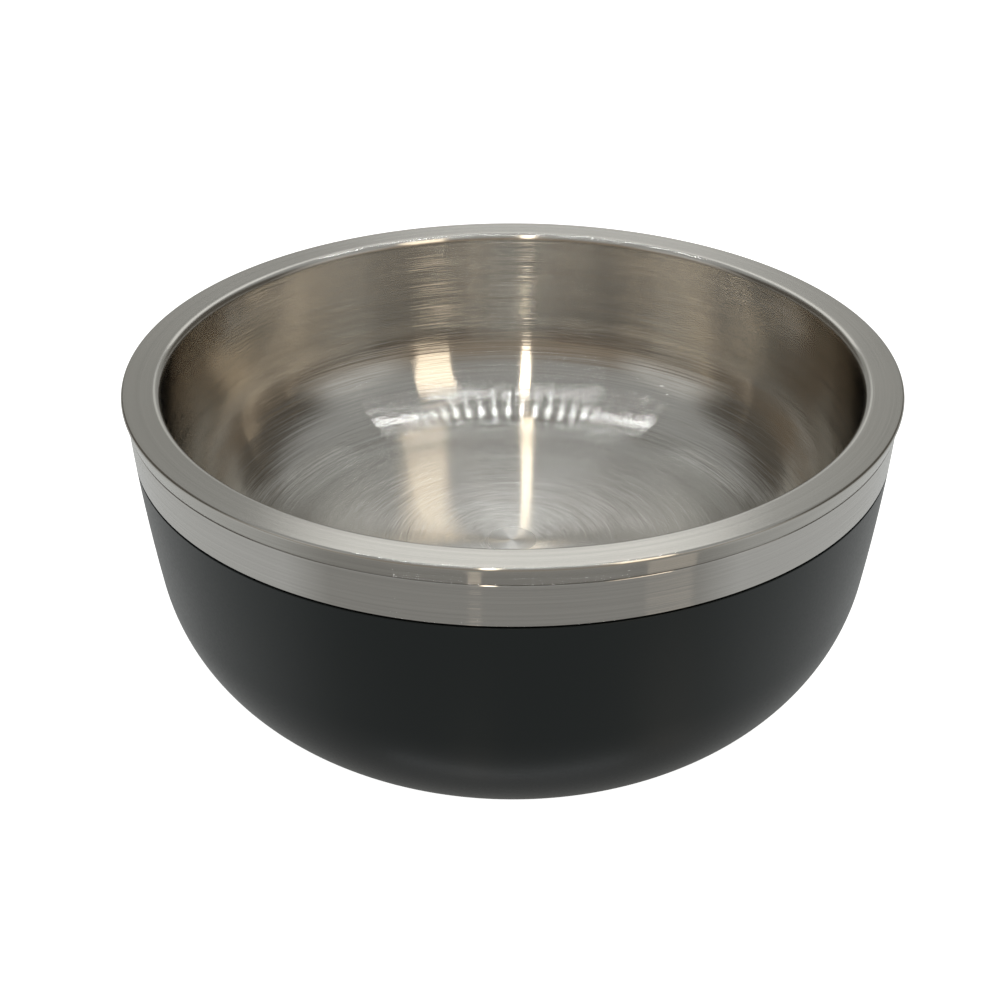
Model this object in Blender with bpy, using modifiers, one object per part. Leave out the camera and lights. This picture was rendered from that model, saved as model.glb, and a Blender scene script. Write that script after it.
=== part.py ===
"""A double-walled steel shaving bowl: liner, outer shell, powder coat, base disc, and the parts sealed
between the two walls.

Run it with blender --background --python part.py, or from Blender's text editor. The driving dimensions
below are in millimetres times MM, which makes them metres. +Z is up, and the origin is on the bowl's axis,
in the plane that the foot stands on.
"""

from math import cos, pi, radians, sin, sqrt, tan

import bpy

MM = 0.001

# Overall size
RIM_RADIUS = 58.0 * MM
HEIGHT = 53.8 * MM
CAVITY_DEPTH = 30.7 * MM

# Outer form: a foot flat, a round heel, then a wall that is crowned very slightly
FOOT_RADIUS = 25.75 * MM
HEEL_RADIUS = 29.25 * MM
WALL_CROWN_RADIUS = 315.0 * MM
WALL_LEAN = radians(8.2)  # from vertical, where the heel runs into the wall
BAND_HEIGHT = 9.3 * MM  # bare steel, measured down from the rim

# Cavity: floor, cove, and a wall that leans out
CAVITY_MOUTH_RADIUS = 52.3 * MM
CAVITY_LEAN = radians(3.5)
COVE_RADIUS = 17.0 * MM

# Rim
RIM_INNER_ROUND = 1.2 * MM
RIM_OUTER_ROUND = 0.4 * MM
RIM_ROLL_END = radians(-22)  # how far the outer round runs on below the horizontal
LIP_INNER_RADIUS = 56.6 * MM
LIP_HEIGHT = 2.6 * MM  # from the rim's top down to the seam between the liner's lip and the shell

# Sheet, coat and gaps
SHEET = 0.8 * MM
COAT = 0.2 * MM
GAP = 0.3 * MM
COAT_END_LEAN = radians(80)  # the coat stops here on the heel, just above the foot

# Base recess with its disc and the vacuum port
RECESS_RADIUS = 20.7 * MM
RECESS_DEPTH = 1.3 * MM
BASE_DISC_BOTTOM = 0.4 * MM
BASE_DISC_CHAMFER = 0.15 * MM
FOOT_CHAMFER = 0.4 * MM
DIMPLE_OUTER_RADIUS = 5.2 * MM
DIMPLE_INNER_RADIUS = 4.4 * MM
DIMPLE_DEPTH = 1.2 * MM
PORT_RADIUS = 1.0 * MM
SEAL_INSET = 0.05 * MM
SEAL_CROWN = 0.2 * MM

# Getter under the cavity floor
TABLET_RADIUS = 4.5 * MM
TABLET_THICKNESS = 1.5 * MM
STRAP_WIDTH = 4.0 * MM
STRAP_THICKNESS = 0.3 * MM
STRAP_HALF_LENGTH = 9.0 * MM
STRAP_SLOPE_RUN = 0.7 * MM

SEGMENTS = 48
SMALL_SEGMENTS = 24
SHARP_ANGLE = radians(32)
WELD = 0.00001


def steel(name, colour, roughness):
    return material(name, colour, roughness, 1.0)


def material(name, colour, roughness, metallic):
    made = bpy.data.materials.new(name)
    made.use_nodes = True
    shader = made.node_tree.nodes["Principled BSDF"]
    shader.inputs["Base Color"].default_value = (*colour, 1.0)
    shader.inputs["Roughness"].default_value = roughness
    shader.inputs["Metallic"].default_value = metallic
    made.diffuse_color = (*colour, 1.0)
    return made


def clear_scene():
    for obj in list(bpy.data.objects):
        bpy.data.objects.remove(obj, do_unlink=True)


def bowl_collection():
    made = bpy.data.collections.new("shaving_bowl")
    bpy.context.scene.collection.children.link(made)
    return made


def shade(mesh):
    mesh.shade_smooth()
    mesh.set_sharp_from_angle(angle=SHARP_ANGLE)


def arc(centre, radius, start, end, steps):
    """Points (radius, height) on a circle, from the angle start to the angle end, measured from +X."""
    points = []
    for i in range(steps + 1):
        angle = start + (end - start) * i / steps
        points.append((centre[0] + radius * cos(angle), centre[1] + radius * sin(angle)))
    return points


def turned(name, outline, surface, collection, segments=SEGMENTS):
    """One solid turned round Z from its section: (radius, height) points that run down the outer side.

    A section that starts and ends on the axis stays open there; any other is a closed ring.
    """
    mesh = bpy.data.meshes.new(name)
    edges = [(i, i + 1) for i in range(len(outline) - 1)]
    if outline[0][0] > 0:
        edges.append((len(outline) - 1, 0))
    mesh.from_pydata([(r, 0.0, z) for r, z in outline], edges, [])
    obj = bpy.data.objects.new(name, mesh)
    collection.objects.link(obj)
    screw = obj.modifiers.new("Turn", "SCREW")
    screw.axis = "Z"
    screw.steps = segments
    screw.render_steps = segments
    screw.use_merge_vertices = True
    screw.merge_threshold = WELD
    apply_modifiers(obj)
    obj.data.materials.append(surface)
    return obj


def apply_modifiers(obj):
    bpy.context.view_layer.update()
    graph = bpy.context.evaluated_depsgraph_get()
    solid = bpy.data.meshes.new_from_object(obj.evaluated_get(graph))
    obj.modifiers.clear()
    obj.data = solid
    shade(solid)


# The outer form is two arcs that meet smoothly. A "lean" is the wall's angle from vertical, so the heel
# runs from a lean of 90 degrees at the foot to WALL_LEAN. An inset is a distance in from the outer surface.
HEEL_CENTRE = (FOOT_RADIUS, HEEL_RADIUS)
CROWN_CENTRE = (
    HEEL_CENTRE[0] - (WALL_CROWN_RADIUS - HEEL_RADIUS) * cos(WALL_LEAN),
    HEEL_CENTRE[1] + (WALL_CROWN_RADIUS - HEEL_RADIUS) * sin(WALL_LEAN),
)


def heel(inset, lean_from, lean_to, steps):
    return arc(HEEL_CENTRE, HEEL_RADIUS - inset, -lean_from, -lean_to, steps)


def wall_radius(height, inset):
    drop = CROWN_CENTRE[1] - height
    return CROWN_CENTRE[0] + sqrt((WALL_CROWN_RADIUS - inset) ** 2 - drop**2)


def wall(inset, bottom, top, steps):
    """The crowned wall between two heights, upwards."""
    heights = [bottom + (top - bottom) * i / steps for i in range(steps + 1)]
    return [(wall_radius(height, inset), height) for height in heights]


def heel_top(inset):
    """The height at which the heel runs into the wall."""
    return HEEL_CENTRE[1] - (HEEL_RADIUS - inset) * sin(WALL_LEAN)


def outer_side(inset, lean_from, top, heel_steps=9, wall_steps=3):
    """The outer form at one inset, upwards from a place on the heel to a height."""
    lower = heel(inset, lean_from, WALL_LEAN, heel_steps)
    upper = wall(inset, heel_top(inset), top, wall_steps)
    return lower + upper[1:]


FLOOR_TOP = HEIGHT - CAVITY_DEPTH
LIP_BOTTOM = HEIGHT - LIP_HEIGHT
SHELL_TOP = LIP_BOTTOM - GAP
BAND_BOTTOM = HEIGHT - BAND_HEIGHT
RELIEF = COAT + GAP


def cavity_side(depth, cove_steps, round_steps):
    """One face of the liner's sheet, from the axis out and up to the rim: depth is 0 on the wetted side."""
    round_centre = (CAVITY_MOUTH_RADIUS + RIM_INNER_ROUND, HEIGHT - RIM_INNER_ROUND)
    cove_height = FLOOR_TOP + COVE_RADIUS
    wall_run = (round_centre[1] - cove_height) * tan(CAVITY_LEAN)
    mouth = CAVITY_MOUTH_RADIUS + RIM_INNER_ROUND * (1 - cos(CAVITY_LEAN))
    cove_centre = (mouth - wall_run - COVE_RADIUS * cos(CAVITY_LEAN), cove_height)
    floor = [(0.0, FLOOR_TOP - depth)]
    cove = arc(cove_centre, COVE_RADIUS + depth, -pi / 2, -CAVITY_LEAN, cove_steps)
    mouth_round = arc(round_centre, RIM_INNER_ROUND - depth, pi - CAVITY_LEAN, pi / 2, round_steps)
    return floor + cove + mouth_round


def inner_bowl(collection, surface):
    """The drawn liner: floor, cove, wall, flat rim flange and the short lip rolled over the shell's edge."""
    corner = (RIM_RADIUS - RIM_OUTER_ROUND, HEIGHT - RIM_OUTER_ROUND)
    outline = cavity_side(0.0, 8, 4)
    outline += arc(corner, RIM_OUTER_ROUND, pi / 2, RIM_ROLL_END, 5)
    outline += [(wall_radius(LIP_BOTTOM, 0.0), LIP_BOTTOM)]
    outline += [(LIP_INNER_RADIUS, LIP_BOTTOM), (LIP_INNER_RADIUS, HEIGHT - SHEET)]
    outline += reversed(cavity_side(SHEET, 8, 3))
    return turned("inner_bowl", outline, surface, collection)


def outer_shell(collection, surface):
    """The outer wall: bare band, relief for the coat, heel, foot, recess and the dimple with the vacuum port."""
    step = COAT_END_LEAN
    inside = [
        (PORT_RADIUS, RECESS_DEPTH + DIMPLE_DEPTH + SHEET),
        (DIMPLE_INNER_RADIUS + SHEET, RECESS_DEPTH + DIMPLE_DEPTH + SHEET),
        (DIMPLE_OUTER_RADIUS + SHEET, RECESS_DEPTH + SHEET),
        (RECESS_RADIUS + SHEET, RECESS_DEPTH + SHEET),
        (RECESS_RADIUS + 2 * SHEET, RELIEF + SHEET),
    ]
    inside += outer_side(RELIEF + SHEET, pi / 2, BAND_BOTTOM + SHEET)
    inside += wall(SHEET, BAND_BOTTOM + SHEET, SHELL_TOP, 1)
    outside = wall(0.0, BAND_BOTTOM, SHELL_TOP, 2)[::-1]
    outside += outer_side(RELIEF, step, BAND_BOTTOM)[::-1]
    outside += heel(0.0, step, pi / 2, 2)
    base = [
        (RECESS_RADIUS + FOOT_CHAMFER, 0.0),
        (RECESS_RADIUS, FOOT_CHAMFER),
        (RECESS_RADIUS, RECESS_DEPTH),
        (DIMPLE_OUTER_RADIUS, RECESS_DEPTH),
        (DIMPLE_INNER_RADIUS, RECESS_DEPTH + DIMPLE_DEPTH),
        (PORT_RADIUS, RECESS_DEPTH + DIMPLE_DEPTH),
    ]
    return turned("outer_shell", inside + outside + base, surface, collection)


def powder_coat(collection, surface):
    """The black coat on the shell, from just under the bare band down to the foot."""
    end = COAT_END_LEAN - GAP / HEEL_RADIUS
    top = BAND_BOTTOM - GAP
    outline = outer_side(COAT, end, top) + outer_side(0.0, end, top)[::-1]
    return turned("powder_coat", outline, surface, collection)


def base_cover(collection, surface):
    """The thin disc set into the recess, which hides the vacuum port."""
    radius = RECESS_RADIUS - GAP
    top = RECESS_DEPTH - GAP
    bottom = BASE_DISC_BOTTOM
    outline = [
        (0.0, top),
        (radius, top),
        (radius, bottom + BASE_DISC_CHAMFER),
        (radius - BASE_DISC_CHAMFER, bottom),
        (0.0, bottom),
    ]
    return turned("base_cover", outline, surface, collection)


def vacuum_seal(collection, surface):
    """The solder-glass bead that closes the port: it fills the dimple, and a nib of it stands in the port."""
    top = RECESS_DEPTH + DIMPLE_DEPTH - GAP
    bottom = RECESS_DEPTH + SEAL_INSET
    nib_radius = PORT_RADIUS - GAP
    slope = (DIMPLE_OUTER_RADIUS - DIMPLE_INNER_RADIUS) / DIMPLE_DEPTH
    clearance = GAP * sqrt(1 + slope**2)  # across, so that the slanted wall is GAP away, square to it

    def dimple_wall(height):
        return DIMPLE_OUTER_RADIUS - slope * (height - RECESS_DEPTH) - clearance

    shoulder = bottom + SEAL_CROWN
    outline = [
        (0.0, top + SHEET),
        (nib_radius, top + SHEET),
        (nib_radius, top),
        (dimple_wall(top), top),
        (dimple_wall(shoulder), shoulder),
        (DIMPLE_INNER_RADIUS - clearance, bottom),
        (0.0, bottom),
    ]
    return turned("vacuum_seal", outline, surface, collection, SMALL_SEGMENTS)


TABLET_TOP = FLOOR_TOP - SHEET - GAP


def getter_tablet(collection, surface):
    """The sintered tablet that takes up stray gas between the walls."""
    chamfer = TABLET_THICKNESS / 6
    bottom = TABLET_TOP - TABLET_THICKNESS
    outline = [
        (0.0, TABLET_TOP),
        (TABLET_RADIUS - chamfer, TABLET_TOP),
        (TABLET_RADIUS, TABLET_TOP - chamfer),
        (TABLET_RADIUS, bottom + chamfer),
        (TABLET_RADIUS - chamfer, bottom),
        (0.0, bottom),
    ]
    return turned("getter_tablet", outline, surface, collection, SMALL_SEGMENTS)


def getter_strap(collection, surface):
    """The foil strap that holds the tablet up against the liner, with a welded foot at each end."""
    foot = TABLET_TOP - STRAP_THICKNESS / 2
    bridge = TABLET_TOP - TABLET_THICKNESS - GAP - STRAP_THICKNESS / 2
    inner = TABLET_RADIUS + GAP + STRAP_THICKNESS
    outer = inner + STRAP_SLOPE_RUN
    right = [(inner, bridge), (outer, foot), (STRAP_HALF_LENGTH, foot)]
    path = [(-x, z) for x, z in reversed(right)] + right
    points = [(x, y * STRAP_WIDTH / 2, z) for y in (-1, 1) for x, z in path]
    count = len(path)
    faces = [(i, i + 1, count + i + 1, count + i) for i in range(count - 1)]
    mesh = bpy.data.meshes.new("getter_strap")
    mesh.from_pydata(points, [], faces)
    obj = bpy.data.objects.new("getter_strap", mesh)
    collection.objects.link(obj)
    sheet = obj.modifiers.new("Thickness", "SOLIDIFY")
    sheet.thickness = STRAP_THICKNESS
    sheet.offset = 0.0
    sheet.use_even_offset = True
    apply_modifiers(obj)
    obj.data.materials.append(surface)
    return obj


def main():
    clear_scene()
    collection = bowl_collection()
    inner_bowl(collection, steel("liner_brushed_steel", (0.56, 0.54, 0.50), 0.30))
    outer_shell(collection, steel("shell_brushed_steel", (0.58, 0.57, 0.55), 0.34))
    powder_coat(collection, material("satin_black_coat", (0.018, 0.020, 0.021), 0.45, 0.0))
    base_cover(collection, steel("base_brushed_steel", (0.55, 0.54, 0.52), 0.38))
    vacuum_seal(collection, material("solder_glass", (0.10, 0.09, 0.08), 0.25, 0.0))
    getter_tablet(collection, steel("sintered_getter", (0.16, 0.15, 0.15), 0.80))
    getter_strap(collection, steel("steel_foil", (0.60, 0.59, 0.57), 0.28))


main()
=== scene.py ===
"""Looks of the double-walled steel shaving bowl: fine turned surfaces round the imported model, brushed steel,
satin black coat, and a pale studio. Lengths are in metres, +Z is up, and the bowl's axis is the Z axis."""

from collections import namedtuple
from math import cos, pi, radians, sin, sqrt, tan

import bpy
from mathutils import Matrix, Vector


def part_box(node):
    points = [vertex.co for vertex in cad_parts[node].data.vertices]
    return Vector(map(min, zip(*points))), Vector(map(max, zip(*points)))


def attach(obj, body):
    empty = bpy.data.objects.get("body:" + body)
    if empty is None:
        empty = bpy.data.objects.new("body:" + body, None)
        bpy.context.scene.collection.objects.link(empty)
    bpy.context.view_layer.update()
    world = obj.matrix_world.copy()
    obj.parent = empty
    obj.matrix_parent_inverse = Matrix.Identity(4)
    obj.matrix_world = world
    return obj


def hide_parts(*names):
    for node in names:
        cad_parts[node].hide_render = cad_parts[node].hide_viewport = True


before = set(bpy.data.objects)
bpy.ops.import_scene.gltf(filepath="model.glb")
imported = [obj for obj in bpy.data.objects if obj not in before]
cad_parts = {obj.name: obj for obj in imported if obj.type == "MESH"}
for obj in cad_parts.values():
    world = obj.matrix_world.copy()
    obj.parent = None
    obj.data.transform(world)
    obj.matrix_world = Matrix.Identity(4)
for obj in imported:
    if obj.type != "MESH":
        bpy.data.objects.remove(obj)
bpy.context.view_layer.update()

MM = 0.001

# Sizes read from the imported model.
RIM_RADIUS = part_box("inner_bowl")[1].x
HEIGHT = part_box("inner_bowl")[1].z
LINER_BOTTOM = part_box("inner_bowl")[0].z
SHELL_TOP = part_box("outer_shell")[1].z
COAT_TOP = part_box("powder_coat")[1].z
DISC_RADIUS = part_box("base_cover")[1].x
DISC_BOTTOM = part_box("base_cover")[0].z
DISC_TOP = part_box("base_cover")[1].z

# Sizes that repeat the design
SHEET = 0.8 * MM
COAT = 0.2 * MM
GAP = 0.3 * MM
FOOT_RADIUS = 25.75 * MM
HEEL_RADIUS = 29.25 * MM
WALL_CROWN_RADIUS = 315.0 * MM
WALL_LEAN = radians(8.2)
COAT_END_LEAN = radians(80)
CAVITY_MOUTH_RADIUS = 52.3 * MM
CAVITY_LEAN = radians(3.5)
COVE_RADIUS = 17.0 * MM
RIM_INNER_ROUND = 1.2 * MM
RIM_OUTER_ROUND = 0.4 * MM
RIM_ROLL_END = radians(-22)
LIP_INNER_RADIUS = 56.6 * MM
RECESS_RADIUS = DISC_RADIUS + GAP
RECESS_DEPTH = 1.3 * MM
PORT_RADIUS = 4.0 * MM
FOOT_CHAMFER = 0.4 * MM

# Fine detail that only the visual model has
SEAM_GAP = 0.05 * MM
SEAM_ROUND = 0.07 * MM
BAND_EDGE_ROUND = 0.15 * MM
COAT_EDGE_ROUND = 0.09 * MM
RING_STEP = 0.25 * MM
RIPPLE = 0.0020 * MM
RIPPLE_FADE = 2.0 * MM
CENTRE_MARK_RADIUS = 4.2 * MM
CENTRE_MARK_DEPTH = 0.03 * MM
SPOT_RADIUS = 3.9 * MM
DISC_CHAMFER = 0.15 * MM

SEGMENTS = 320
SHARP_ANGLE = radians(40)
WELD = 0.000001

FLOOR_TOP = LINER_BOTTOM + SHEET
BAND_BOTTOM = COAT_TOP + GAP
RELIEF = COAT + GAP
LIP_BOTTOM = SHELL_TOP + SEAM_GAP


# ---------------------------------------------------------------- outlines


def arc(centre, radius, start, end, steps):
    points = []
    for i in range(steps + 1):
        angle = start + (end - start) * i / steps
        points.append((centre[0] + radius * cos(angle), centre[1] + radius * sin(angle)))
    return points


def line(start, end, step):
    """Points from start to end, both included, about one step apart."""
    length = sqrt((end[0] - start[0]) ** 2 + (end[1] - start[1]) ** 2)
    count = max(1, round(length / step))
    return [
        (start[0] + (end[0] - start[0]) * i / count, start[1] + (end[1] - start[1]) * i / count)
        for i in range(count + 1)
    ]


def apart(a, b):
    return abs(a[0] - b[0]) + abs(a[1] - b[1]) > WELD


def joined(*runs):
    """One outline from several runs, with the points that two runs share kept once."""
    outline = []
    for run in runs:
        for point in run:
            if not outline or apart(point, outline[-1]):
                outline.append(point)
    return outline


HEEL_CENTRE = (FOOT_RADIUS, HEEL_RADIUS)
CROWN_CENTRE = (
    HEEL_CENTRE[0] - (WALL_CROWN_RADIUS - HEEL_RADIUS) * cos(WALL_LEAN),
    HEEL_CENTRE[1] + (WALL_CROWN_RADIUS - HEEL_RADIUS) * sin(WALL_LEAN),
)


def wall_radius(height, inset):
    drop = CROWN_CENTRE[1] - height
    return CROWN_CENTRE[0] + sqrt((WALL_CROWN_RADIUS - inset) ** 2 - drop**2)


def wall(inset, bottom, top, steps):
    heights = [bottom + (top - bottom) * i / steps for i in range(steps + 1)]
    return [(wall_radius(height, inset), height) for height in heights]


def outer_side(inset, lean_from, top):
    lower = arc(HEEL_CENTRE, HEEL_RADIUS - inset, -lean_from, -WALL_LEAN, 48)
    return joined(lower, wall(inset, lower[-1][1], top, 24))


def ring_ripple(radius):
    """Height of the turning marks on the floor: a few waves of unlike length, as a worn tool leaves them."""
    waves = ((0.92, 1.0, 0.4), (1.37, 0.9, 2.1), (2.45, 1.3, 4.0), (4.1, 1.2, 1.3))
    height = sum(a * sin(2 * pi * radius / (length * MM) + shift) for length, a, shift in waves)
    return RIPPLE * height


def liner_floor(cove_foot):
    """The turned floor from the axis to the cove: a shallow centre mark, then fine rings that fade out."""
    points = []
    for radius, _ in line((0.0, 0.0), (cove_foot, 0.0), RING_STEP):
        mark = 1 / (1 + (radius / CENTRE_MARK_RADIUS) ** 24)
        fade = min(1.0, radius / CENTRE_MARK_RADIUS) * min(1.0, (cove_foot - radius) / RIPPLE_FADE)
        points.append((radius, FLOOR_TOP - CENTRE_MARK_DEPTH * mark + fade * ring_ripple(radius)))
    return points


def liner_outline():
    mouth = CAVITY_MOUTH_RADIUS + RIM_INNER_ROUND * (1 - cos(CAVITY_LEAN))
    round_centre = (CAVITY_MOUTH_RADIUS + RIM_INNER_ROUND, HEIGHT - RIM_INNER_ROUND)
    cove_height = FLOOR_TOP + COVE_RADIUS
    foot = mouth - (round_centre[1] - cove_height) * tan(CAVITY_LEAN) - COVE_RADIUS * cos(CAVITY_LEAN)
    cove_centre = (foot, cove_height)
    corner = (RIM_RADIUS - RIM_OUTER_ROUND, HEIGHT - RIM_OUTER_ROUND)
    cove = arc(cove_centre, COVE_RADIUS, -pi / 2, -CAVITY_LEAN, 40)
    mouth_round = arc(round_centre, RIM_INNER_ROUND, pi - CAVITY_LEAN, pi / 2, 14)
    roll = arc(corner, RIM_OUTER_ROUND, pi / 2, RIM_ROLL_END, 12)
    lip_radius = wall_radius(LIP_BOTTOM, 0.0)
    back_cove = arc(cove_centre, COVE_RADIUS + SHEET, -CAVITY_LEAN, -pi / 2, 20)
    back_round = arc(round_centre, RIM_INNER_ROUND - SHEET, pi / 2, pi - CAVITY_LEAN, 6)
    return joined(
        liner_floor(foot),
        cove,
        line(cove[-1], mouth_round[0], 0.5 * MM),
        mouth_round,
        line(mouth_round[-1], roll[0], 0.3 * MM),
        roll,
        line(roll[-1], (lip_radius + SEAM_ROUND * 0.3, LIP_BOTTOM + SEAM_ROUND), 0.3 * MM),
        [(lip_radius - SEAM_ROUND, LIP_BOTTOM), (LIP_INNER_RADIUS, LIP_BOTTOM)],
        [(LIP_INNER_RADIUS, HEIGHT - SHEET)],
        back_round,
        back_cove,
        [(0.0, LINER_BOTTOM)],
    )


def shell_outline():
    """The outer wall as a closed section: inside face up, band and heel down, foot and recess."""
    inside = joined(
        [(PORT_RADIUS, RECESS_DEPTH + SHEET), (RECESS_RADIUS + SHEET, RECESS_DEPTH + SHEET)],
        [(RECESS_RADIUS + 2 * SHEET, RELIEF + SHEET)],
        outer_side(RELIEF + SHEET, pi / 2, BAND_BOTTOM + SHEET),
        wall(SHEET, BAND_BOTTOM + SHEET, SHELL_TOP, 6),
    )
    top_radius = wall_radius(SHELL_TOP, 0.0)
    edge = (wall_radius(BAND_BOTTOM, 0.0) - BAND_EDGE_ROUND, BAND_BOTTOM + BAND_EDGE_ROUND)
    band = joined(
        [(top_radius - SEAM_ROUND, SHELL_TOP)],
        wall(0.0, SHELL_TOP - SEAM_ROUND, edge[1], 24),
        arc(edge, BAND_EDGE_ROUND, 0.0, -pi / 2, 6),
    )
    under_coat = outer_side(RELIEF, COAT_END_LEAN, BAND_BOTTOM)[::-1]
    foot = joined(
        arc(HEEL_CENTRE, HEEL_RADIUS, -COAT_END_LEAN, -pi / 2, 10),
        line((FOOT_RADIUS, 0.0), (RECESS_RADIUS + FOOT_CHAMFER, 0.0), 0.5 * MM),
        arc((RECESS_RADIUS + FOOT_CHAMFER, FOOT_CHAMFER), FOOT_CHAMFER, -pi / 2, -pi, 5),
        [(RECESS_RADIUS, RECESS_DEPTH), (PORT_RADIUS, RECESS_DEPTH)],
    )
    return joined(inside, band, under_coat, foot)


def coat_outline():
    end = COAT_END_LEAN - GAP / HEEL_RADIUS
    outside = outer_side(0.0, end, COAT_TOP - COAT_EDGE_ROUND)[::-1]
    top_radius = wall_radius(COAT_TOP, 0.0)
    inside = outer_side(COAT, end, COAT_TOP)
    lip = arc((top_radius - COAT_EDGE_ROUND, COAT_TOP - COAT_EDGE_ROUND), COAT_EDGE_ROUND, pi / 2, 0.0, 5)
    return joined(inside, lip, outside)


def disc_outline():
    """The base disc: flat above, and below a fine chamfer and turned rings round a centre mark."""
    under = []
    for radius, _ in line((DISC_RADIUS - DISC_CHAMFER, 0.0), (0.0, 0.0), RING_STEP):
        fade = min(1.0, radius / RIPPLE_FADE) * 0.6
        under.append((radius, DISC_BOTTOM + fade * ring_ripple(radius)))
    edge = [(DISC_RADIUS, DISC_TOP), (DISC_RADIUS, DISC_BOTTOM + DISC_CHAMFER)]
    return joined([(0.0, DISC_TOP)], edge, under)


# ---------------------------------------------------------------- materials


class Nodes:
    """A short way to write a node tree: each call adds one node and returns its output."""

    def __init__(self, tree):
        self.tree = tree

    def link(self, value, socket):
        if isinstance(value, bpy.types.NodeSocket):
            self.tree.links.new(value, socket)
        else:
            socket.default_value = value

    def node(self, kind, output=0, settings=(), **inputs):
        made = self.tree.nodes.new("ShaderNode" + kind)
        for name, value in settings:
            setattr(made, name, value)
        for name, value in inputs.items():
            key = int(name[1:]) if name[0] == "i" and name[1:].isdigit() else name.replace("_", " ")
            self.link(value, made.inputs[key])
        return made.outputs[output]

    def math(self, operation, a, b=0.0):
        return self.node("Math", settings=[("operation", operation)], i0=a, i1=b)

    def vector(self, operation, a, b=(0.0, 0.0, 0.0), output=0):
        return self.node("VectorMath", output, [("operation", operation)], i0=a, i1=b)

    def noise(self, at, scale, detail=2.0, roughness=0.5):
        return self.node("TexNoise", 0, Vector=at, Scale=scale, Detail=detail, Roughness=roughness)

    def spread(self, value, low, high, to_low=0.0, to_high=1.0):
        """to_low where value is low, to_high where it is high, and no further on either side."""
        limits = {"From_Min": low, "From_Max": high, "To_Min": to_low, "To_Max": to_high}
        return self.node("MapRange", 0, Value=value, **limits)

    def product(self, *factors):
        """The factors multiplied, the last two first."""
        result = factors[-1]
        for factor in reversed(factors[:-1]):
            result = self.math("MULTIPLY", factor, result)
        return result

    def mix_value(self, factor, a, b):
        return self.node("Mix", 0, i0=factor, i2=a, i3=b)

    def mix(self, factor, a, b):
        made = self.tree.nodes.new("ShaderNodeMix")
        made.data_type = "RGBA"
        for value, socket in zip((factor, a, b), (made.inputs[0], made.inputs[6], made.inputs[7])):
            self.link(value, socket)
        return made.outputs[2]


class MaterialNodes(Nodes):
    """The node tree of a new material."""

    def __init__(self, name):
        self.material = bpy.data.materials.new(name)
        self.material.use_nodes = True
        super().__init__(self.material.node_tree)
        self.shader = self.tree.nodes["Principled BSDF"]

    def set(self, **values):
        for name, value in values.items():
            self.link(value, self.shader.inputs[name.replace("_", " ")])


def turned_coordinates(nodes, round_scale, across_scale):
    """Texture space of marks cut on a lathe: long round the axis, and very fine across it."""
    place = nodes.node("TexCoord", 3)
    flat = nodes.vector("MULTIPLY", place, (1.0, 1.0, 0.0))
    direction = nodes.vector("NORMALIZE", flat)
    radius = nodes.vector("LENGTH", flat, output=1)
    height = nodes.node("SeparateXYZ", 2, Vector=place)
    along = nodes.math("ADD", radius, height)
    around = nodes.vector("MULTIPLY", direction, (round_scale, round_scale, 0.0))
    across = nodes.node("CombineXYZ", X=0.0, Y=0.0, Z=nodes.math("MULTIPLY", along, across_scale))
    return nodes.vector("ADD", around, across)


# How brushed steel looks at one place: its roughness, and how far the normal leans in most of the finest
# marks (core), in a few of them (tail), and in the marks wide enough to see (mark).
Finish = namedtuple("Finish", "roughness core tail mark")


def brushed_steel(name, colour, finish, painted_floor_light_colour=None):
    """Steel brushed round the axis. Each mark is a groove that runs round the bowl, so the normal leans along
    the meridian only. finish gives the Finish at a height. The floor can be given a lighter colour: a painted
    highlight that stands in for the light the floor catches."""
    nodes = MaterialNodes(name)
    place = nodes.node("TexCoord", 3)
    fine = nodes.noise(turned_coordinates(nodes, 2.5, 26000.0), 1.0, 1.0, 0.5)
    broad = nodes.noise(turned_coordinates(nodes, 0.5, 3200.0), 1.0, 2.0, 0.6)
    cloud = nodes.noise(place, 45.0, 3.0, 0.55)
    tone = nodes.math("ADD", nodes.math("MULTIPLY", fine, 0.3), nodes.math("MULTIPLY", broad, 0.7))
    tone = nodes.spread(tone, 0.35, 0.65)
    shade = toned(nodes, tone, colour, 0.94, 1.04)
    height = nodes.node("SeparateXYZ", 2, Vector=place)
    # Painted highlight: the floor, the same steel as the wall, gets a lighter colour in place of the light it
    # catches.
    if painted_floor_light_colour:
        painted_light_on_floor = nodes.spread(height, FLOOR_TOP + 1.2 * MM, FLOOR_TOP + 0.2 * MM)
        shade = nodes.mix(painted_light_on_floor, shade, toned(nodes, tone, painted_floor_light_colour, 0.95, 1.0))
    worked = finish(nodes, height)
    rough = nodes.math("ADD", nodes.spread(cloud, 0.3, 0.7, -0.01, 0.01), worked.roughness)
    fine = nodes.spread(fine, 0.25, 0.75, -1.0, 1.0)
    broad = nodes.spread(broad, 0.25, 0.75, -1.0, 1.0)
    most = nodes.math("MULTIPLY", fine, worked.core)
    few = nodes.math("MULTIPLY", nodes.math("POWER", fine, 3.0), worked.tail)
    wide = nodes.math("MULTIPLY", broad, worked.mark)
    lean = nodes.math("ADD", nodes.math("ADD", most, few), wide)
    tangent = nodes.node("Tangent", 0, [("direction_type", "RADIAL"), ("axis", "Z")])
    nodes.set(Base_Color=shade, Metallic=1.0, Roughness=rough, Tangent=tangent)
    nodes.set(Normal=leaning_normal(nodes, place, lean), Anisotropic=1.0, Anisotropic_Rotation=0.25)
    return nodes.material


def toned(nodes, tone, colour, low, high):
    """A colour that runs from low to high times itself as tone goes from 0 to 1."""
    dark = tuple(c * low for c in colour)
    light = tuple(c * high for c in colour)
    return nodes.mix(tone, (*dark, 1.0), (*light, 1.0))


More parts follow.
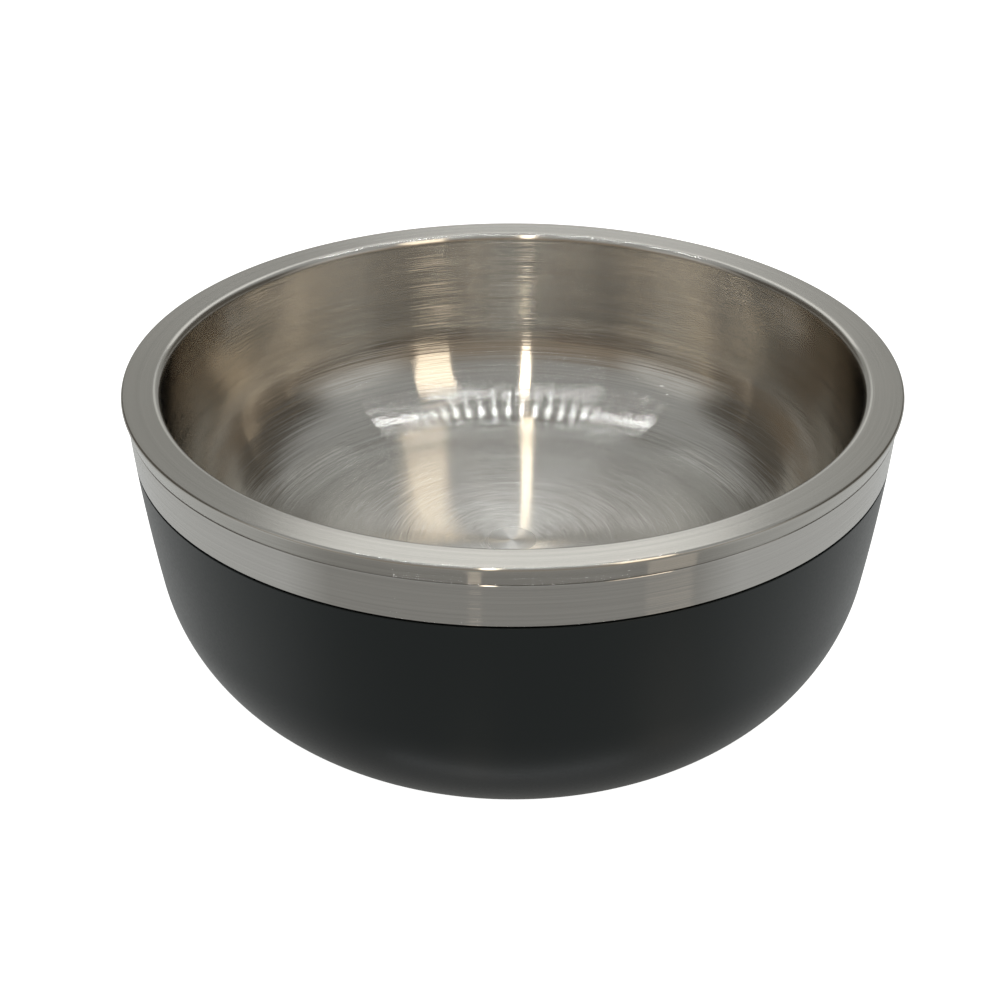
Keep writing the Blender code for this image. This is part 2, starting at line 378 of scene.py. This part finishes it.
def leaning_normal(nodes, place, lean):
    """The surface's normal leant along the meridian by lean."""
    surface = nodes.node("NewGeometry", 1)
    around = nodes.vector("NORMALIZE", nodes.vector("CROSS_PRODUCT", (0.0, 0.0, 1.0), place))
    meridian = nodes.vector("CROSS_PRODUCT", around, surface)
    leaning = nodes.vector("MULTIPLY", meridian, nodes.node("CombineXYZ", X=lean, Y=lean, Z=lean))
    return nodes.vector("NORMALIZE", nodes.vector("ADD", surface, leaning))


def liner_finish(nodes, height):
    """Satin on the floor and the rim, crisper brush marks on the wall between them, and a plain spot in the
    middle of the floor, where the turning ends."""
    flat_place = nodes.vector("MULTIPLY", nodes.node("TexCoord", 3), (1.0, 1.0, 0.0))
    radius = nodes.vector("LENGTH", flat_place, output=1)
    marked = nodes.spread(radius, SPOT_RADIUS - 0.15 * MM, SPOT_RADIUS)
    above_foot = nodes.spread(height, FLOOR_TOP + 0.1 * MM, FLOOR_TOP + 0.9 * MM)
    above_cove = nodes.spread(height, FLOOR_TOP + 4.5 * MM, FLOOR_TOP + 8.0 * MM)
    below_rim = nodes.spread(height, HEIGHT - 1.0 * MM, HEIGHT - 1.6 * MM)

    def by_zone(rim, floor, cove, wall):
        inner = nodes.mix_value(above_foot, floor, nodes.spread(above_cove, 0.0, 1.0, cove, wall))
        return nodes.mix_value(below_rim, rim, inner)

    rougher_spot = nodes.spread(marked, 0.0, 1.0, 0.10, 0.0)
    return Finish(
        roughness=nodes.math("ADD", by_zone(rim=0.165, floor=0.225, cove=0.060, wall=0.10), rougher_spot),
        core=by_zone(rim=0.04, floor=0.03, cove=0.15, wall=0.10),
        tail=nodes.product(marked, below_rim, nodes.spread(above_foot, 0.0, 1.0, 0.30, 0.35)),
        mark=nodes.product(marked, below_rim, nodes.spread(above_foot, 0.0, 1.0, 0.004, 0.018)),
    )


def shell_finish(nodes, height):
    return Finish(roughness=0.13, core=0.15, tail=0.15, mark=0.006)


def base_finish(nodes, height):
    return Finish(roughness=0.20, core=0.15, tail=0.10, mark=0.010)


def satin_coat():
    nodes = MaterialNodes("satin_black_powder_coat")
    place = nodes.node("TexCoord", 3)
    grain = nodes.noise(place, 2600.0, 2.0, 0.5)
    peel = nodes.noise(place, 520.0, 2.0, 0.5)
    cloud = nodes.noise(place, 30.0, 3.0, 0.5)
    shade = nodes.mix(cloud, (0.0082, 0.0135, 0.0155, 1.0), (0.0110, 0.0168, 0.0188, 1.0))
    worn = nodes.spread(cloud, 0.3, 0.7, -0.02, 0.02)
    rough = nodes.math("ADD", nodes.spread(grain, 0.3, 0.7, 0.29, 0.35), worn)
    height = nodes.math("ADD", nodes.math("MULTIPLY", grain, 0.25), peel)
    bump = nodes.node("Bump", 0, Strength=0.25, Distance=0.00001, Height=height)
    nodes.set(Base_Color=shade, Metallic=0.0, Roughness=rough, Normal=bump, IOR=1.42)
    return nodes.material


def solder_glass():
    nodes = MaterialNodes("dark_solder_glass")
    place = nodes.node("TexCoord", 3)
    cloud = nodes.noise(place, 900.0, 3.0, 0.5)
    shade = nodes.mix(cloud, (0.05, 0.045, 0.04, 1.0), (0.14, 0.12, 0.10, 1.0))
    nodes.set(Base_Color=shade, Roughness=nodes.spread(cloud, 0.3, 0.7, 0.12, 0.3), IOR=1.6)
    return nodes.material


def sintered_metal():
    nodes = MaterialNodes("sintered_getter")
    place = nodes.node("TexCoord", 3)
    grain = nodes.noise(place, 3500.0, 4.0, 0.7)
    shade = nodes.mix(grain, (0.07, 0.07, 0.07, 1.0), (0.22, 0.21, 0.20, 1.0))
    bump = nodes.node("Bump", 0, Strength=0.6, Distance=0.00005, Height=grain)
    nodes.set(Base_Color=shade, Metallic=1.0, Roughness=nodes.spread(grain, 0.3, 0.7, 0.6, 0.85), Normal=bump)
    return nodes.material


def rolled_foil():
    nodes = MaterialNodes("rolled_foil")
    place = nodes.vector("MULTIPLY", nodes.node("TexCoord", 3), (150.0, 6000.0, 6000.0))
    grain = nodes.noise(place, 1.0, 3.0, 0.6)
    shade = nodes.mix(grain, (0.48, 0.47, 0.46, 1.0), (0.66, 0.65, 0.63, 1.0))
    bump = nodes.node("Bump", 0, Strength=0.2, Distance=0.00002, Height=grain)
    nodes.set(Base_Color=shade, Metallic=1.0, Roughness=nodes.spread(grain, 0.3, 0.7, 0.2, 0.34), Normal=bump)
    return nodes.material


# ---------------------------------------------------------------- pieces


def turned(name, outline, material, node):
    """A fine turned solid that stands for a CAD node."""
    mesh = bpy.data.meshes.new(name)
    edges = [(i, i + 1) for i in range(len(outline) - 1)]
    if outline[0][0] > 0:
        edges.append((len(outline) - 1, 0))
    mesh.from_pydata([(r, 0.0, z) for r, z in outline], edges, [])
    obj = bpy.data.objects.new(name, mesh)
    bpy.context.scene.collection.objects.link(obj)
    screw = obj.modifiers.new("Turn", "SCREW")
    screw.axis = "Z"
    screw.steps = SEGMENTS
    screw.render_steps = SEGMENTS
    screw.use_merge_vertices = True
    screw.merge_threshold = WELD
    bpy.context.view_layer.update()
    graph = bpy.context.evaluated_depsgraph_get()
    solid = bpy.data.meshes.new_from_object(obj.evaluated_get(graph))
    obj.modifiers.clear()
    obj.data = solid
    solid.shade_smooth()
    solid.set_sharp_from_angle(angle=SHARP_ANGLE)
    solid.materials.append(material)
    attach(obj, "root")
    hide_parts(node)
    return obj


def repaint(node, material):
    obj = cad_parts[node]
    obj.data.materials.clear()
    obj.data.materials.append(material)


LINER_COLOUR = (0.57, 0.555, 0.52)
# Painted highlight: a lighter colour for the liner's floor, the same steel as its wall, standing in for light.
LINER_FLOOR_PAINTED_LIGHT_COLOUR = (0.82, 0.815, 0.79)
SHELL_COLOUR = (0.57, 0.555, 0.53)
BASE_COLOUR = (0.52, 0.51, 0.49)


def make_bowl():
    liner = brushed_steel("liner_brushed_steel", LINER_COLOUR, liner_finish, LINER_FLOOR_PAINTED_LIGHT_COLOUR)
    shell = brushed_steel("shell_brushed_steel", SHELL_COLOUR, shell_finish)
    base = brushed_steel("base_brushed_steel", BASE_COLOUR, base_finish)
    turned("liner", liner_outline(), liner, "inner_bowl")
    turned("shell", shell_outline(), shell, "outer_shell")
    turned("coat", coat_outline(), satin_coat(), "powder_coat")
    turned("base_disc", disc_outline(), base, "base_cover")
    repaint("vacuum_seal", solder_glass())
    repaint("getter_tablet", sintered_metal())
    repaint("getter_strap", rolled_foil())


# ---------------------------------------------------------------- studio

# The camera, in rim radii and degrees
CAMERA_DISTANCE = 4.80
CAMERA_ELEVATION = 25.70
CAMERA_LENS = 66.49
AIM_LEFT = 0.0323
AIM_BELOW_RIM = 0.405
CAMERA_ROLL = -0.10
STAGE_RADIUS = 6.0


def make_camera():
    data = bpy.data.cameras.new("camera")
    data.lens = CAMERA_LENS
    data.sensor_width = 36.0
    data.clip_start = 0.01
    data.clip_end = 20.0
    camera = bpy.data.objects.new("camera", data)
    bpy.context.scene.collection.objects.link(camera)
    elevation = radians(CAMERA_ELEVATION)
    back = Vector((0.0, -cos(elevation), sin(elevation)))
    rim_centre = Vector((0.0, 0.0, HEIGHT))
    camera.location = rim_centre + back * CAMERA_DISTANCE * RIM_RADIUS
    aim = rim_centre + Vector((-AIM_LEFT, 0.0, -AIM_BELOW_RIM)) * RIM_RADIUS
    look = (aim - camera.location).to_track_quat("-Z", "Y").to_matrix().to_4x4()
    roll = Matrix.Rotation(radians(CAMERA_ROLL), 4, "Z")
    camera.matrix_world = Matrix.Translation(camera.location) @ look @ roll
    bpy.context.scene.camera = camera


def white_stage(name, material):
    """Makes the object just added part of the studio: white to the camera, and left out of reflections."""
    stage = bpy.context.object
    stage.name = name
    stage.data.materials.append(material)
    stage.visible_glossy = False
    stage.visible_diffuse = False
    stage.visible_shadow = False


def make_stage():
    nodes = MaterialNodes("pale_studio")
    nodes.set(Base_Color=(0.80, 0.80, 0.80, 1.0), Roughness=0.9)
    nodes.set(Emission_Color=(1.0, 1.0, 1.0, 1.0), Emission_Strength=1.0)
    below_foot = -0.2 * MM
    bpy.ops.mesh.primitive_circle_add(
        vertices=96, radius=STAGE_RADIUS, fill_type="NGON", location=(0.0, 0.0, below_foot)
    )
    white_stage("studio_floor", nodes.material)
    bpy.ops.mesh.primitive_cylinder_add(
        vertices=96, radius=STAGE_RADIUS, depth=2 * STAGE_RADIUS, end_fill_type="NOTHING",
        location=(0.0, 0.0, STAGE_RADIUS + below_foot)
    )
    white_stage("studio_wall", nodes.material)


def area_light(name, place, target, size, power, colour):
    data = bpy.data.lights.new(name, "AREA")
    data.shape = "RECTANGLE"
    data.size, data.size_y = size
    data.energy = power
    data.color = colour
    light = bpy.data.objects.new(name, data)
    light.visible_camera = False
    bpy.context.scene.collection.objects.link(light)
    place = Vector(place)
    look = (Vector(target) - place).to_track_quat("-Z", "Y").to_matrix().to_4x4()
    light.matrix_world = Matrix.Translation(place) @ look
    return light


def bar_light(name, lower, upper, width, power, colour):
    """A long flat lamp facing the bowl. Its ends are in rim radii from the middle of the rim, and its width
    is in metres."""
    lower = Vector(lower) * RIM_RADIUS
    upper = Vector(upper) * RIM_RADIUS
    middle = (lower + upper) / 2
    along = (upper - lower).normalized()
    across = along.cross(middle).normalized()
    facing = across.cross(along)
    light = area_light(name, middle, (0.0, 0.0, 0.0), (width, (upper - lower).length), power, colour)
    turn = Matrix((across, along, facing)).transposed().to_4x4()
    light.matrix_world = Matrix.Translation(middle + Vector((0.0, 0.0, HEIGHT))) @ turn
    return light


LAMPS_IN_ROW = 28
LAMP_ROW_LEFT = 0.02
LAMP_SIZE = (0.0012, 0.006)
COOL = (0.95, 0.98, 1.0)
WARM = (1.0, 0.86, 0.68)
WARMER = (1.0, 0.84, 0.64)


def lamp_row(name, half_length, depth, height, power):
    """A bar of small lamps along X. All its places are in rim radii from the middle of the rim."""
    for i in range(LAMPS_IN_ROW):
        across = half_length * (2 * i / (LAMPS_IN_ROW - 1) - 1) - LAMP_ROW_LEFT
        place = Vector((across, depth, height)) * RIM_RADIUS + Vector((0.0, 0.0, HEIGHT))
        area_light(f"{name}_{i:02d}", place, (0.0, 0.0, 0.0), LAMP_SIZE, power, COOL)


def make_lights():
    lamp_row("front_lamp", half_length=1.30, depth=-0.1, height=4.0, power=0.0008)
    lamp_row("rear_lamp", half_length=1.30, depth=1.9, height=4.0, power=0.0014)
    bar_light("warm_narrow", (-0.39, -3.9, 2.04), (-0.21, -0.68, 4.4), width=0.012, power=0.046, colour=WARM)
    bar_light("warm_wide", (2.04, -3.2, 1.7), (1.42, -0.8, 4.3), width=0.050, power=0.060, colour=WARMER)
    # What a polished table top under the bowl would mirror of them.
    lamp_row("mirrored_lamp", half_length=2.0, depth=-1.4, height=-5.5, power=0.0007)
    narrow_ends = ((-0.72, -3.9, -3.9), (-0.60, -0.68, -6.2))
    bar_light("mirrored_narrow", *narrow_ends, width=0.014, power=0.0035, colour=WARM)
    wide_ends = ((3.1, -3.2, -3.5), (2.9, -0.8, -6.1))
    bar_light("mirrored_wide", *wide_ends, width=0.060, power=0.008, colour=(1.0, 0.86, 0.70))
    panel = (0.0, 5.0 * RIM_RADIUS, HEIGHT + 4.2 * RIM_RADIUS)
    panel_size = (2.9 * RIM_RADIUS, 2.4 * RIM_RADIUS)
    area_light("back_panel", panel, (0.0, 0.0, HEIGHT), panel_size, 0.050, (1.0, 1.0, 0.98))
    make_world()


def make_world():
    """Soft light from every side, brighter from above, from the left and right, and low behind the bowl."""
    world = bpy.data.worlds.new("studio")
    bpy.context.scene.world = world
    world.use_nodes = True
    nodes = Nodes(world.node_tree)
    place = nodes.node("TexCoord", 0)
    x, y, z = (nodes.node("SeparateXYZ", i, Vector=place) for i in range(3))
    sideways = nodes.math("ABSOLUTE", x)
    from_middle = nodes.math("ABSOLUTE", nodes.math("SUBTRACT", x, 0.03))
    diagonal = nodes.math("ADD", sideways, nodes.math("MULTIPLY", y, 0.5))

    def between(low_start, low_full, high_full, high_start):
        """1 from low_full to high_full in Z, and 0 outside the starts."""
        return nodes.product(nodes.spread(z, low_start, low_full), nodes.spread(z, high_start, high_full))

    high = nodes.spread(z, 0.45, 0.70)
    front = nodes.product(nodes.spread(y, 0.1, -0.6), between(-0.05, 0.1, 0.45, 0.60))
    shade = nodes.product(nodes.spread(sideways, 0.35, 0.50), nodes.spread(y, -0.15, 0.0))
    shade = nodes.product(shade, between(0.05, 0.15, 0.60, 0.75))
    corner = nodes.product(nodes.spread(sideways, 0.55, 0.70), nodes.spread(y, -0.10, -0.25))
    corner = nodes.product(corner, between(0.30, 0.45, 0.60, 0.70))
    beside = nodes.product(nodes.spread(diagonal, 0.45, 0.65), nodes.spread(z, 0.10, -0.10))
    behind = nodes.product(nodes.spread(from_middle, 0.14, 0.06), nodes.spread(y, 0.2, 0.5))
    behind = nodes.product(behind, between(0.15, 0.30, 0.44, 0.52))
    below = nodes.spread(z, -0.6, -1.0)
    colour = nodes.mix(high, (0.365, 0.365, 0.350, 1.0), (0.43, 0.435, 0.43, 1.0))
    colour = nodes.mix(front, colour, (0.33, 0.265, 0.20, 1.0))
    colour = nodes.mix(shade, colour, (0.11, 0.10, 0.085, 1.0))
    colour = nodes.mix(corner, colour, (0.70, 0.70, 0.68, 1.0))
    colour = nodes.mix(beside, colour, (0.58, 0.59, 0.58, 1.0))
    colour = nodes.mix(behind, colour, (0.80, 0.81, 0.79, 1.0))
    colour = nodes.mix(below, colour, (0.25, 0.245, 0.235, 1.0))
    nodes.link(colour, world.node_tree.nodes["Background"].inputs["Color"])
    bpy.context.scene.view_settings.view_transform = "Standard"


make_camera()
make_bowl()
make_stage()
make_lights()
